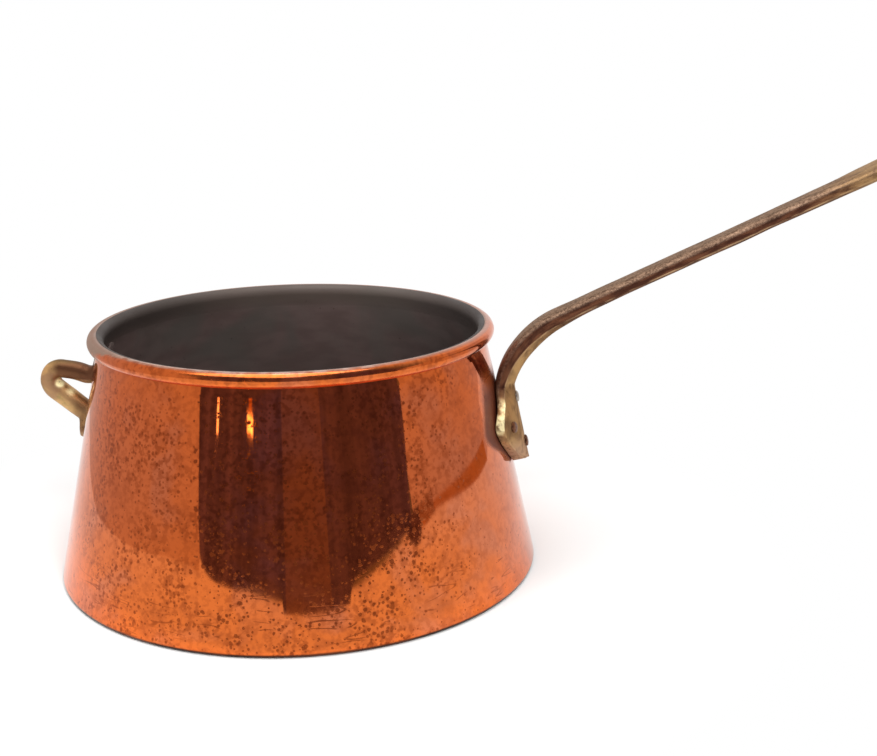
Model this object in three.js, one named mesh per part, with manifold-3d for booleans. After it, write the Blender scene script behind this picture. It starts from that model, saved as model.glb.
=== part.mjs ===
// Tin-lined copper saucepan with a long cast brass handle and a small brass loop opposite it.
// Millimetres, +Z up. The origin is the middle of the base, on the surface that the pot stands on.
// The long handle points along +X and the loop handle along -X.

import * as THREE from 'three';
import { mergeVertices } from 'three/addons/utils/BufferGeometryUtils.js';
import Module from 'manifold-3d';

const wasm = await Module();
wasm.setup();

// Driving dimensions of the spun copper body
const baseRadius = 95; // largest outside radius, just above the base
const bodyHeight = 97; // from the base to the top of the rolled rim
const wallTopRadius = 75.5; // outside of the straight wall, level with the underside of the rim
const sheetThickness = 1.2;
const baseCornerRadius = 1.6; // outside radius where the base turns up into the wall
const beadOverhang = 0.5; // how far the middle of the rolled bead lies outside the wall's top
const beadRadius = 2.9; // outside radius of the bead's round section
const neckDrop = 6; // how far below the bead's middle the wall starts to turn in
const curlGap = 0.4; // slit between the end of the curl and the wall

// Driving dimensions of the tin, and the clearance between pieces that touch
const tinThickness = 0.4;
const seatGap = 0.3;

// Driving dimensions of the long handle's riveted plate, with rises measured up the wall from its tip
const plateTipDrop = 55; // tip of the plate below the top of the rim
const plateWidestRise = 17.6;
const plateLength = 34; // from the tip to the neck
const plateHalfWidth = 18.8;
const tipHalfWidth = 1.6;
const plateEdge = 3.2; // thickness along the plate's outline
const plateCrown = 6.6; // thickness on the plate's middle line
const leafRoundness = 1.6; // power of the curve from the tip to the widest place
const plateFlatness = 2; // power of the outer face's bulge

// Driving dimensions of the long handle's neck and bar
const neckHalfWidth = 7.4;
const neckLeaveRise = 29.4; // from the tip to where the back of the neck leaves the wall
const neckBendRadius = 11.4; // tighter bend where the neck leaves the wall, on its back
const shoulderBendRadius = 39.7; // slacker bend that leads into the straight bar
const shoulderSlope = 75.7; // degrees above level where the slacker bend starts
const barSlope = 25.7; // degrees above level of the straight bar
const barHalfWidth = 6.6;
const barEdge = 2.9;
const barCrown = 5.2;
const neckCrown = 7.9; // thickness where the neck is stoutest
const stoutestShare = 0.58; // share of the two bends' length where that is
const barEaseLength = 37; // from the stoutest place to the plain bar
const barFlatness = 4;

// Driving dimensions of the long handle's paddle end and its hanging eye
const handleReach = 251; // from the pot's axis to the far end, measured level
const flareLength = 62; // the stretch that widens into the paddle
const paddleHalfWidth = 13;
const paddleEdge = 2.4;
const paddleCrown = 4.6;
const bluntEndAngle = 78; // degrees of the round end that are kept
const eyeRadius = 5.5;
const eyeInset = 14; // from the far end to the middle of the eye

// Driving dimensions of the loop handle, a round brass bar with a flat foot at each end
const lowerArmRadius = 4.3;
const upperArmRadius = 3.75;
const upperFootDrop = 1.8; // top of the upper foot below the underside of the bead
const loopFootSpan = 41; // from the top of the upper foot to the bottom of the lower foot
const loopBendDrop = 17.3; // centre of the outer bend below the top of the upper foot
const loopStandOff = 20.7; // from the wall to the bar's middle line at the outer bend
const loopInnerRadius = 0.4; // the sharp inside of the outer bend
const lowerArmSlope = 38; // degrees above level, seen from the foot outwards
const upperArmSlope = 6.5; // degrees above level, seen from the wall outwards
const lowerFootBend = 5.5;
const upperFootBend = 5;
const footHalfWidth = 9.5;
const footThickness = 4.2;
const footEndHalfWidth = 2.5;
const footFlatShare = 0.35; // share of a foot's length before it starts to thicken into the bar
const footSquareness = 3; // 2 is an ellipse, and more is squarer
const footSunk = 1; // how much deeper the foot is made before its back is cut to the wall

// Driving dimensions of the rivets
const shankRadius = 2.1;
const headRadius = 2.7;
const headHeight = 1.7;
const innerHeadRadius = 3.6;
const innerHeadHeight = 1.2;
const neckRivetRise = 25.2;
const wingRivetRise = 16.2;
const wingRivetOffset = 11; // sideways from the plate's middle line
const tipRivetRise = 6.8;
const upperLoopRivetInset = 4.6; // below the top of the upper foot
const lowerLoopRivetInset = 4.8; // above the bottom of the lower foot

// Fineness of the round shapes
const aroundPot = 48;
const aroundRivet = 16;
const aroundWire = 10;
const aroundEye = 24;
const aroundBar = 14;
const plateStations = 16;
const bendStations = 14;
const barStations = 3;
const flareStations = 9;
const endStations = 6;
const loopStations = 40;
const curlSteps = 16;
const cornerSteps = 4;
const domeSteps = 4;
const crownSteps = 8;
const settlingRounds = 6; // rounds in which a rivet's height on the curved plate settles

// How far a cutting tool runs past what it cuts
const cutPast = 5;

// Points and lines in a plane

const degrees = THREE.MathUtils.degToRad;
const point = (x, y) => new THREE.Vector2(x, y);
const forward = (heading) => point(Math.cos(heading), Math.sin(heading));
const rightOf = (heading) => point(Math.sin(heading), -Math.cos(heading));
const moved = (at, direction, distance) => at.clone().addScaledVector(direction, distance);
const blend = (x, start, end, from, to) =>
  THREE.MathUtils.lerp(from, to, THREE.MathUtils.smoothstep(x, start, end));
const steps = (count, make) => Array.from({ length: count + 1 }, (_, i) => make(i / count));

// Heading of the line from a point that touches a circle and has it on the right
function headingToTouch(from, centre, radius) {
  const away = centre.clone().sub(from);
  return away.angle() + Math.asin(radius / away.length());
}

// Where two lines cross, each given by a point and a heading
function crossing(a, headingA, b, headingB) {
  const between = b.clone().sub(a);
  const alongA = forward(headingA);
  const alongB = forward(headingB);
  return moved(a, alongA, between.cross(alongB) / alongA.cross(alongB));
}

function arc(centre, radius, start, end, count) {
  return steps(count, (t) => moved(centre, forward(start + (end - start) * t), radius));
}

// The two sides of a line, joined as one closed outline; distances are measured to the left of the line
function outlineAlong(line, rightSide, leftSide) {
  const side = (distance) =>
    line.map((at, i) => {
      const entering = at.clone().sub(line[i - 1] ?? at);
      const leaving = (line[i + 1] ?? at).clone().sub(at);
      const along = entering.clone().normalize().add(leaving.clone().normalize()).normalize();
      const stretch = 1 / along.dot(i > 0 ? entering.normalize() : leaving.normalize());
      return point(at.x - along.y * distance * stretch, at.y + along.x * distance * stretch);
    });
  return [...side(rightSide), ...side(leftSide).reverse()];
}

// Line of straight runs and bends, followed by distance; a bend to the right has a positive radius
function track(start, heading, runs) {
  return (distance) => {
    let at = start;
    let turned = heading;
    let left = distance;
    for (const { length, radius } of runs) {
      const step = Math.min(left, length);
      if (radius) {
        const next = turned - step / radius;
        at = moved(moved(at, rightOf(turned), radius), rightOf(next), -radius);
        turned = next;
      } else {
        at = moved(at, forward(turned), step);
      }
      left -= step;
    }
    return { at, heading: turned };
  };
}

// Solids

const withoutRepeats = (corners) => {
  const kept = [];
  for (let i = 0; i < corners.length; i += 3) {
    const [a, b, c] = corners.slice(i, i + 3);
    if (a !== b && b !== c && c !== a) kept.push(a, b, c);
  }
  return new Uint32Array(kept);
};

function solid(geometry) {
  const bare = geometry.clone();
  bare.deleteAttribute('normal');
  bare.deleteAttribute('uv');
  const closed = mergeVertices(bare, 1e-4);
  const vertProperties = new Float32Array(closed.attributes.position.array);
  const triVerts = withoutRepeats(closed.index.array);
  return new wasm.Manifold(new wasm.Mesh({ numProp: 3, vertProperties, triVerts }));
}

function toGeometry(body) {
  const { vertProperties, triVerts } = body.getMesh();
  const geometry = new THREE.BufferGeometry();
  geometry.setAttribute('position', new THREE.BufferAttribute(vertProperties, 3));
  geometry.setIndex(new THREE.BufferAttribute(triVerts, 1));
  geometry.computeVertexNormals();
  return geometry;
}

// Turned about +Z from an outline of (radius, height) that runs anticlockwise
function lathe(outline, segments) {
  const geometry = new THREE.LatheGeometry([...outline, outline[0]], segments);
  geometry.rotateX(Math.PI / 2);
  return geometry;
}

// Through a row of stations in the XZ plane; a section holds (sideways, towards the right of the heading)
function loft(stations) {
  const size = stations[0].section.length;
  const positions = stations.flatMap(({ at, heading, section }) =>
    section.flatMap(({ x, y }) => {
      const place = moved(at, rightOf(heading), y);
      return [place.x, x, place.y];
    }),
  );
  const corners = [];
  for (let i = 0; i + 1 < stations.length; i++) {
    for (let j = 0; j < size; j++) {
      const a = i * size + j;
      const b = i * size + ((j + 1) % size);
      corners.push(a, b + size, b, a, a + size, b + size);
    }
  }
  const lastRing = (stations.length - 1) * size;
  for (const face of THREE.ShapeUtils.triangulateShape(stations[0].section, [])) corners.push(...face);
  for (const face of THREE.ShapeUtils.triangulateShape(stations.at(-1).section, [])) {
    corners.push(...face.reverse().map((k) => k + lastRing));
  }
  const geometry = new THREE.BufferGeometry();
  geometry.setAttribute('position', new THREE.Float32BufferAttribute(positions, 3));
  geometry.setIndex(corners);
  return geometry;
}

// The outside of the wall, which everything riveted to it follows

const wallTop = point(wallTopRadius, bodyHeight - 2 * beadRadius);
const rimCentre = point(wallTopRadius + beadOverhang, bodyHeight - beadRadius);
const cornerCentre = point(baseRadius - baseCornerRadius, baseCornerRadius);
const wallHeading = headingToTouch(wallTop, cornerCentre, baseCornerRadius) - Math.PI;
const wallLean = wallHeading - Math.PI / 2;
const wallOutward = rightOf(wallHeading);
const wallAt = (height) => point(wallTop.x + (height - wallTop.y) / Math.tan(wallHeading), height);
const offWall = (height, distance) => moved(wallAt(height), wallOutward, distance);
const roundnessAt = (height) => wallAt(height).x / Math.cos(wallLean);

// How far the round wall falls away sideways from its middle line
function wallFall(height, sideways) {
  const radius = roundnessAt(height);
  return radius - Math.sqrt(radius ** 2 - sideways ** 2);
}

// What a piece on the wall is cut by, so that its back fits the wall
function wallCutter() {
  const foot = offWall(0, seatGap);
  const head = offWall(bodyHeight, seatGap);
  return solid(lathe([point(0, foot.y), foot, head, point(0, head.y)], aroundPot));
}

// Middle line of the copper sheet, from the axis up to the underside of the bead, with a sharp base corner
const sheetMiddle = sheetThickness / 2;
const sheetLine = offWall(0, -sheetMiddle);
const sharpCorner = crossing(sheetLine, wallHeading, point(0, sheetMiddle), 0);
const neckLine = crossing(sheetLine, wallHeading, point(0, rimCentre.y - neckDrop), 0);
const curlRadius = beadRadius - sheetMiddle;
const curlHeading = headingToTouch(neckLine, rimCentre, curlRadius);
const curlStart = curlHeading + Math.PI / 2;

// The spun body: base, wall, neck and the bead curled outwards over the wire

function potBody() {
  const baseCorner = arc(cornerCentre, baseCornerRadius - sheetMiddle, -Math.PI / 2, wallLean, cornerSteps);
  const clearOfWall = (curlRadius - sheetMiddle - curlGap) / beadRadius;
  const curlEnd = curlStart + Math.acos(clearOfWall) - 2 * Math.PI;
  const curl = arc(rimCentre, curlRadius, curlStart, curlEnd, curlSteps);
  const line = [point(0, sheetMiddle), ...baseCorner, neckLine, ...curl];
  return solid(lathe(outlineAlong(line, -sheetMiddle, sheetMiddle), aroundPot));
}

// The tin wiped over the inside, up to the inner side of the bead
function tinLining() {
  const lip = arc(rimCentre, curlRadius, curlStart, Math.PI, 1);
  const line = [point(0, sheetMiddle), sharpCorner, neckLine, ...lip];
  const outside = sheetMiddle + seatGap;
  return solid(lathe(outlineAlong(line, outside, outside + tinThickness), aroundPot));
}

function rimWire() {
  const wireRadius = beadRadius - sheetThickness - seatGap;
  const outline = arc(rimCentre, wireRadius, 0, 2 * Math.PI, aroundWire);
  outline.pop();
  return solid(lathe(outline, aroundPot));
}

// The long handle, one casting: a leaf-shaped plate on the wall, a neck, a bevelled bar and a paddle end

const plateTipHeight = bodyHeight - plateTipDrop;
const heightAt = (rise) => plateTipHeight + rise * Math.cos(wallLean);
const neckBend = neckBendRadius * (wallHeading - degrees(shoulderSlope));
const shoulderBend = shoulderBendRadius * degrees(shoulderSlope - barSlope);
const stoutestRise = neckLeaveRise + stoutestShare * (neckBend + shoulderBend);
const barStartRise = neckLeaveRise + neckBend + shoulderBend;
const handleStart = offWall(plateTipHeight, seatGap);
const bends = [
  { length: neckLeaveRise },
  { length: neckBend, radius: neckBendRadius },
  { length: shoulderBend, radius: shoulderBendRadius },
];
const barStart = track(handleStart, wallHeading, bends)(barStartRise).at;
const barLength = (handleReach - barStart.x) / Math.cos(degrees(barSlope));
const handleLength = barStartRise + barLength;
const handleBack = track(handleStart, wallHeading, [...bends, { length: barLength }]);
const flareStart = handleLength - flareLength;
const paddleRound = handleLength - paddleHalfWidth;

function handleHalfWidth(rise) {
  if (rise < plateWidestRise) {
    const toTip = (1 - rise / plateWidestRise) ** leafRoundness;
    return THREE.MathUtils.lerp(plateHalfWidth, tipHalfWidth, toTip);
  }
  if (rise < plateLength) return blend(rise, plateWidestRise, plateLength, plateHalfWidth, neckHalfWidth);
  if (rise < flareStart) return blend(rise, plateLength, barStartRise, neckHalfWidth, barHalfWidth);
  const flared = blend(rise, flareStart, paddleRound, barHalfWidth, paddleHalfWidth);
  const pastRound = Math.max(rise - paddleRound, 0) / paddleHalfWidth;
  return flared * Math.sqrt(1 - pastRound ** 2);
}

// A thickness that changes from the plate to the bar and on to the paddle
function fromPlateToPaddle(rise, plate, bar, paddle) {
  const beyond = blend(rise, flareStart, paddleRound, bar, paddle);
  return blend(rise, neckLeaveRise, barStartRise, plate, beyond);
}

// Thickness on the middle line, which swells where the neck bends
function handleCrown(rise) {
  if (rise < stoutestRise) return blend(rise, plateWidestRise, stoutestRise, plateCrown, neckCrown);
  const beyond = blend(rise, flareStart, paddleRound, barCrown, paddleCrown);
  return blend(rise, stoutestRise, stoutestRise + barEaseLength, neckCrown, beyond);
}

const onTheWall = (rise) => blend(rise, plateWidestRise, neckLeaveRise, 1, 0);

// Height of the outer face over the back line, at a distance sideways
function handleFace(rise, sideways) {
  const halfWidth = handleHalfWidth(rise);
  const fall = onTheWall(rise) * wallFall(handleBack(rise).at.y, halfWidth);
  const low = fromPlateToPaddle(rise, plateEdge, barEdge, paddleEdge) - fall;
  const flatness = fromPlateToPaddle(rise, plateFlatness, barFlatness, barFlatness);
  return low + (handleCrown(rise) - low) * (1 - Math.abs(sideways / halfWidth) ** flatness);
}

function handleStation(rise) {
  const halfWidth = handleHalfWidth(rise);
  const back = -onTheWall(rise) * plateEdge;
  const face = steps(crownSteps, (t) => {
    const sideways = halfWidth * Math.cos(t * Math.PI);
    return point(sideways, handleFace(rise, sideways));
  });
  return { ...handleBack(rise), section: [point(-halfWidth, back), point(halfWidth, back), ...face] };
}

function longHandle() {
  const stretch = (from, to, count) => steps(count, (t) => from + (to - from) * t).slice(0, -1);
  const rises = [
    ...stretch(0, plateLength, plateStations),
    ...stretch(plateLength, barStartRise, bendStations),
    ...stretch(barStartRise, flareStart, barStations),
    ...stretch(flareStart, paddleRound, flareStations),
    ...steps(endStations, (t) => paddleRound + paddleHalfWidth * Math.sin(t * degrees(bluntEndAngle))),
  ];
  return solid(loft(rises.map(handleStation))).subtract(wallCutter()).subtract(hangingEye());
}

function hangingEye() {
  const { at, heading } = handleBack(handleLength - eyeInset);
  const outward = rightOf(heading);
  const bore = new THREE.CylinderGeometry(eyeRadius, eyeRadius, 2 * (paddleCrown + cutPast), aroundEye);
  bore.rotateX(Math.PI / 2);
  bore.rotateY(Math.atan2(outward.x, outward.y));
  bore.translate(at.x, 0, at.y);
  return solid(bore);
}

// The loop handle: a foot up the wall, the lower arm, a tight bend, the upper arm and a second foot.
// It is laid out on the +X side and turned half round at the end.

const footHalfDepth = (footThickness + seatGap + footSunk) / 2;
const footLine = (height) => offWall(height, footHalfDepth - footSunk);
const upperFootTop = wallTop.y - upperFootDrop;
const lowerFootBottom = upperFootTop - loopFootSpan;
const loopBendHeight = upperFootTop - loopBendDrop;
const loopReach = wallAt(loopBendHeight).x + loopStandOff;
const loopBendRadius = lowerArmRadius + loopInnerRadius;
const armHeading = degrees(lowerArmSlope);
const returnHeading = Math.PI + degrees(upperArmSlope);
const loopBendCentre = point(loopReach - loopBendRadius, loopBendHeight);
const armEnd = moved(loopBendCentre, rightOf(armHeading), loopBendRadius);
const returnStart = moved(loopBendCentre, rightOf(returnHeading), loopBendRadius);
const lowerCorner = crossing(armEnd, armHeading, footLine(0), wallHeading);
const upperCorner = crossing(returnStart, returnHeading, footLine(0), wallHeading);
const lowerCut = lowerFootBend * Math.tan((wallHeading - armHeading) / 2);
const upperCut = upperFootBend * Math.tan((returnHeading - wallHeading) / 2);
const loopRuns = [
  { length: footLine(lowerFootBottom).distanceTo(lowerCorner) - lowerCut },
  { length: lowerFootBend * (wallHeading - armHeading), radius: lowerFootBend },
  { length: lowerCorner.distanceTo(armEnd) - lowerCut },
  { length: loopBendRadius * (returnHeading - armHeading), radius: -loopBendRadius },
  { length: returnStart.distanceTo(upperCorner) - upperCut },
  { length: upperFootBend * (returnHeading - wallHeading), radius: upperFootBend },
  { length: upperCorner.distanceTo(footLine(upperFootTop)) - upperCut },
];
const loopLength = loopRuns.reduce((sum, run) => sum + run.length, 0);
const lowerFootLength = loopRuns[0].length + loopRuns[1].length;
const upperFootLength = loopRuns[5].length + loopRuns[6].length;
const loopBendStart = lowerFootLength + loopRuns[2].length;
const loopBendEnd = loopBendStart + loopRuns[3].length;
const loopMiddle = track(footLine(lowerFootBottom), wallHeading, loopRuns);

function loopStation(distance) {
  const barRadius = blend(distance, loopBendStart, loopBendEnd, lowerArmRadius, upperArmRadius);
  const lower = distance < loopLength / 2;
  const fromEnd = lower ? distance : loopLength - distance;
  const footLength = lower ? lowerFootLength : upperFootLength;
  const toRound = Math.max(1 - fromEnd / footHalfWidth, 0);
  const rounded = THREE.MathUtils.lerp(footEndHalfWidth, footHalfWidth, Math.sqrt(1 - toRound ** 2));
  const fromFoot = (foot, bar) => blend(fromEnd, footLength * footFlatShare, footLength, foot, bar);
  const halfWidth = fromFoot(rounded, barRadius);
  const halfDepth = fromFoot(footHalfDepth, barRadius);
  const squareness = fromFoot(footSquareness, 2);
  const bulge = (value) => Math.sign(value) * Math.abs(value) ** (2 / squareness);
  const section = steps(aroundBar, (t) =>
    point(halfWidth * bulge(Math.cos(2 * Math.PI * t)), halfDepth * bulge(Math.sin(2 * Math.PI * t))),
  ).slice(0, -1);
  return { ...loopMiddle(distance), section };
}

function loopHandle() {
  const whole = solid(loft(steps(loopStations, (t) => loopStation(t * loopLength))));
  return whole.subtract(wallCutter()).rotate([0, 0, 180]);
}

// Rivets, each through the wall at a height and an angle round the pot. The axis is the wall's own normal
// there, held is how far the piece it holds stands out from the wall, and slant tips the outer head to lie
// on a sloping face.

const longHandleRivet = (rise, sideways) => {
  const height = heightAt(rise);
  const radius = roundnessAt(height);
  const angle = Math.asin(sideways / wallAt(height).x);
  let held = plateCrown;
  for (let i = 0; i < settlingRounds; i++) {
    const face = handleFace(rise, (radius + held) * Math.sin(angle));
    held = (radius + seatGap + face) / Math.cos(angle) - radius;
  }
  const at = (radius + held) * Math.sin(angle);
  const slope = (handleFace(rise, at - 1) - handleFace(rise, at + 1)) / 2;
  return { height, angle, held, slant: Math.atan(slope) - angle };
};
const loopRivet = (height) => ({ height, angle: Math.PI, held: seatGap + footThickness, slant: 0 });

const longHandleRivets = {
  handle_rivet_neck: longHandleRivet(neckRivetRise, 0),
  handle_rivet_front_wing: longHandleRivet(wingRivetRise, -wingRivetOffset),
  handle_rivet_back_wing: longHandleRivet(wingRivetRise, wingRivetOffset),
  handle_rivet_tip: longHandleRivet(tipRivetRise, 0),
};
const loopRivets = {
  loop_rivet_upper: loopRivet(upperFootTop - upperLoopRivetInset),
  loop_rivet_lower: loopRivet(lowerFootBottom + lowerLoopRivetInset),
};
const rivets = { ...longHandleRivets, ...loopRivets };

// Place and direction of a rivet: its local +Z is the wall's normal, its local +Y runs round the pot
function rivetFrame({ height, angle }) {
  const foot = wallAt(height);
  const frame = new THREE.Object3D();
  frame.rotation.set(0, Math.PI / 2 - wallLean, angle, 'ZYX');
  frame.position.set(foot.x * Math.cos(angle), foot.x * Math.sin(angle), foot.y);
  frame.updateMatrix();
  return frame.matrix;
}

function dome(radius, height) {
  const quarter = steps(domeSteps, (t) => (t * Math.PI) / 2);
  const outline = quarter.map((turn) => point(radius * Math.cos(turn), height * Math.sin(turn)));
  return lathe([point(0, 0), ...outline], aroundRivet);
}

function pin(radius, bottom, top) {
  const geometry = new THREE.CylinderGeometry(radius, radius, top - bottom, aroundRivet);
  geometry.rotateX(Math.PI / 2);
  geometry.translate(0, 0, (top + bottom) / 2);
  return geometry;
}

const innerSeat = -(sheetThickness + tinThickness + 2 * seatGap);

function rivetSolid(rivet) {
  const outerSeat = rivet.held + seatGap;
  const outerHead = dome(headRadius, headHeight);
  outerHead.rotateX(-rivet.slant);
  outerHead.translate(0, 0, outerSeat);
  const innerHead = dome(innerHeadRadius, innerHeadHeight);
  innerHead.rotateX(Math.PI);
  innerHead.translate(0, 0, innerSeat);
  const shank = pin(shankRadius, innerSeat - innerHeadHeight / 2, outerSeat + headHeight / 2);
  const pieces = [shank, outerHead, innerHead].map((piece) => solid(piece.applyMatrix4(rivetFrame(rivet))));
  return wasm.Manifold.union(pieces);
}

// The hole for a rivet, with the seat under its outer head where the held piece rises beside it
function rivetHole(rivet) {
  const hole = pin(shankRadius + seatGap, innerSeat - cutPast, rivet.held + cutPast);
  return solid(hole.applyMatrix4(rivetFrame(rivet)));
}

function headSeat(rivet) {
  const seat = pin(headRadius + seatGap, rivet.held, rivet.held + headHeight + cutPast);
  return solid(seat.applyMatrix4(rivetFrame(rivet)));
}

const cutBy = (body, tools) => tools.reduce((left, tool) => left.subtract(tool), body);
const drilled = (body, which) => cutBy(body, Object.values(which).map(rivetHole));
const seated = (body, which) => cutBy(body, Object.values(which).map(headSeat));

// Metals

const metal = (color, roughness, metalness = 1) =>
  new THREE.MeshStandardMaterial({ color, roughness, metalness });
const copper = () => metal(0xb9622f, 0.22);
const tin = () => metal(0x5c4d48, 0.6, 0.8);
const iron = () => metal(0x5a5450, 0.6);
const brass = () => metal(0x95754a, 0.38);
const darkCopper = () => metal(0x4d382c, 0.5);

const pieces = [
  ['pot_body', drilled(potBody(), rivets), copper()],
  ['tin_lining', drilled(tinLining(), rivets), tin()],
  ['rim_wire', rimWire(), iron()],
  ['long_handle', drilled(longHandle(), longHandleRivets), brass()],
  ['loop_handle', seated(drilled(loopHandle(), loopRivets), loopRivets), brass()],
  ...Object.entries(rivets).map(([name, rivet]) => [name, rivetSolid(rivet), darkCopper()]),
];

const group = new THREE.Group();
for (const [name, body, material] of pieces) {
  const mesh = new THREE.Mesh(toGeometry(body), material);
  mesh.name = name;
  group.add(mesh);
}

export default group;
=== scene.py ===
"""A tin-lined copper saucepan with a long cast brass handle and a brass loop handle, in metres."""

import cmath
import math

import bmesh
import bpy
import numpy as np
from mathutils import Matrix, Vector, noise


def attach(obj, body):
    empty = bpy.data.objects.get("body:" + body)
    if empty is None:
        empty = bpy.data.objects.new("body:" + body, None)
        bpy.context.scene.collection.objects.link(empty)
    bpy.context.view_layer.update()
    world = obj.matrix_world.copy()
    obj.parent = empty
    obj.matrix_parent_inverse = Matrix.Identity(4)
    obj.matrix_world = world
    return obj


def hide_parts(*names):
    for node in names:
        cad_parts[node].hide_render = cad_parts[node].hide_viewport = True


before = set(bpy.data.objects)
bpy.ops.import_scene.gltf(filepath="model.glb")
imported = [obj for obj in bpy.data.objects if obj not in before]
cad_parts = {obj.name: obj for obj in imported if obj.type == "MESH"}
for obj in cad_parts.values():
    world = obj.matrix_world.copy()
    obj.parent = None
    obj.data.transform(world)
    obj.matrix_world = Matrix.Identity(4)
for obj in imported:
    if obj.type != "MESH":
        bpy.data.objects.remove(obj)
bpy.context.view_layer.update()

MM = 0.001

sharp_angle = math.radians(40)  # between two faces, from which their edge stays crisp

# The spun copper body
base_radius = 95 * MM
body_height = 97 * MM
wall_top_radius = 75.5 * MM
sheet = 1.2 * MM
base_corner_radius = 1.6 * MM
bead_overhang = 0.5 * MM
bead_radius = 2.9 * MM
neck_drop = 6 * MM
neck_hollow_radius = 2 * MM
curl_gap = 0.4 * MM
corner_steps, hollow_steps, curl_steps = 8, 6, 56

# The tin wiped over the inside
tin_face = 0.7 * MM  # from the sheet's inner face to the tin's face
tin_back = 0.05 * MM
tin_corner_radius = 3 * MM
tin_corner_steps, tin_lap_steps = 10, 18
tin_lap_angle = 105  # degrees round the bead, from the outside, at which the tin runs out

# The long handle's riveted plate, with rises measured up the wall from its tip
seat_gap = 0.3 * MM
plate_tip_drop = 55 * MM
plate_widest_rise = 17.6 * MM
plate_length = 34 * MM
plate_half_width = 18.8 * MM
tip_half_width = 1.6 * MM
plate_edge = 3.2 * MM
plate_crown = 6.6 * MM
leaf_roundness = 1.6
plate_flatness = 2

# The long handle's neck and bar
neck_half_width = 7.4 * MM
neck_leave_rise = 29.4 * MM
neck_bend_radius = 11.4 * MM
shoulder_bend_radius = 39.7 * MM
shoulder_slope = math.radians(75.7)
bar_slope = math.radians(25.7)
bar_half_width = 6.6 * MM
bar_edge = 2.9 * MM
bar_crown = 5.2 * MM
neck_crown = 7.9 * MM
stoutest_share = 0.58
bar_ease_length = 37 * MM
bar_flatness = 4

# The long handle's paddle end and hanging eye
handle_reach = 251 * MM
flare_length = 62 * MM
paddle_half_width = 13 * MM
paddle_edge = 2.4 * MM
paddle_crown = 4.6 * MM
blunt_end_angle = math.radians(84)
eye_radius = 5.5 * MM
eye_inset = 14 * MM
back_crown = 0.4 * MM

# How far the casting's edges are rounded, as (width, depth) on the plate, the bar and the paddle
back_rounding = ((0.5, 0.5), (3.4, 2.2), (1.6, 1.1))
face_rounding = ((0.9, 0.7), (1.1, 0.9), (1.1, 0.8))
rounded_from = 20 * MM  # the rise at which the plate's edges start to change into the bar's
rounded_by = 40 * MM
most_rounded = 0.45  # the largest share of the half width that a rounded edge takes

# The loop handle
lower_arm_radius = 4.3 * MM
upper_arm_radius = 3.75 * MM
upper_foot_drop = 1.8 * MM
loop_foot_span = 41 * MM
loop_bend_drop = 17.3 * MM
loop_stand_off = 20.7 * MM
loop_inner_radius = 0.4 * MM
lower_arm_slope = math.radians(38)
upper_arm_slope = math.radians(6.5)
lower_foot_bend = 5.5 * MM
upper_foot_bend = 5 * MM
dip_start = 2.5 * MM  # from the outer bend, along the upper arm
dip_radius = 26 * MM
dip_angle = math.radians(13)
lower_foot_half_width = 9.5 * MM
lower_foot_thickness = 4.2 * MM
upper_foot_half_width = 4.6 * MM
upper_foot_thickness = 2.8 * MM
foot_end_half_width = 2.5 * MM
foot_flat_share = 0.35
foot_squareness = 3
bar_squareness = 2  # a round bar
foot_sunk = 1 * MM

# The rivets
head_radius = 2.15 * MM
head_height = 1 * MM
head_edge = 0.4 * MM
inner_head_radius = 3.6 * MM
inner_head_height = 1.2 * MM
neck_rivet_rise = 25.2 * MM
wing_rivet_rise = 16.2 * MM
wing_rivet_offset = 11 * MM
tip_rivet_rise = 6.8 * MM
upper_loop_rivet_inset = 4.6 * MM
lower_loop_rivet_inset = 4.8 * MM
settling_rounds = 6

# Where a dark reflection and shade is painted on the wall, which is also left dull: round the plate, neck and
# tip, as (half width, margin), and by the loop
painted_reflection_widths = ((plate_half_width, 10 * MM), (neck_half_width, 15 * MM), (tip_half_width, 6 * MM))
painted_reflection_foot_height = 56 * MM
painted_reflection_foot_reach = 26 * MM

# Places where the film on the wall is thicker or thinner: (degrees round the pot, height, reach, strength)
film_patches = (
    (-128, 60 * MM, 60 * MM, 0.75),
    (-38, 55 * MM, 42 * MM, 0.9),
    (-12, 35 * MM, 45 * MM, 0.8),
    (-88, 10 * MM, 32 * MM, -0.9),
)

# The photograph's view
view_from = math.radians(12)  # round the pot, from straight in front towards the long handle
view_distance = 513.6 * MM
view_height = 213.7 * MM
view_turn = math.radians(-5.64)
view_tilt = math.radians(-15.36)
view_roll = math.radians(-0.66)
view_lens = 54.68  # millimetres, as the sensor's width
sensor_width = 36


# Points in the upright plane of the handles are complex numbers: outwards, and height as the imaginary part


def towards(angle):
    return cmath.exp(1j * angle)


def right_of(angle):
    return -1j * towards(angle)


def eased(x, start, end, low, high):
    """Goes from low to high as x goes from start to end, level at both."""
    share = min(max((x - start) / (end - start), 0), 1)
    return low + (high - low) * share * share * (3 - 2 * share)


def shares(count):
    return [i / count for i in range(count + 1)]


def heading_to_touch(start, centre, radius):
    """Heading of the line from start that touches a circle and has it on the right."""
    away = centre - start
    return cmath.phase(away) % (2 * math.pi) + math.asin(radius / abs(away))


def crossing(a, heading_a, b, heading_b):
    """Where two lines cross, each given by a point and a heading."""
    along_a, along_b = towards(heading_a), towards(heading_b)
    return a + along_a * ((b - a).conjugate() * along_b).imag / (along_a.conjugate() * along_b).imag


def run(start, end, count=18):
    """Points between two ends, closer together near both, so that a straight stretch shades straight."""
    return [start + (end - start) * (1 - math.cos(math.pi * share)) / 2 for share in shares(count)[1:-1]]


def arc(centre, radius, start, end, count):
    return [centre + radius * towards(start + (end - start) * share) for share in shares(count)]


def hollow_bend(corner, heading_in, heading_out, radius, count):
    """A corner that turns left, rounded."""
    centre = corner - towards(heading_in) * radius * math.tan((heading_out - heading_in) / 2)
    centre -= right_of(heading_in) * radius
    return arc(centre, radius, heading_in - math.pi / 2, heading_out - math.pi / 2, count)


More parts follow.
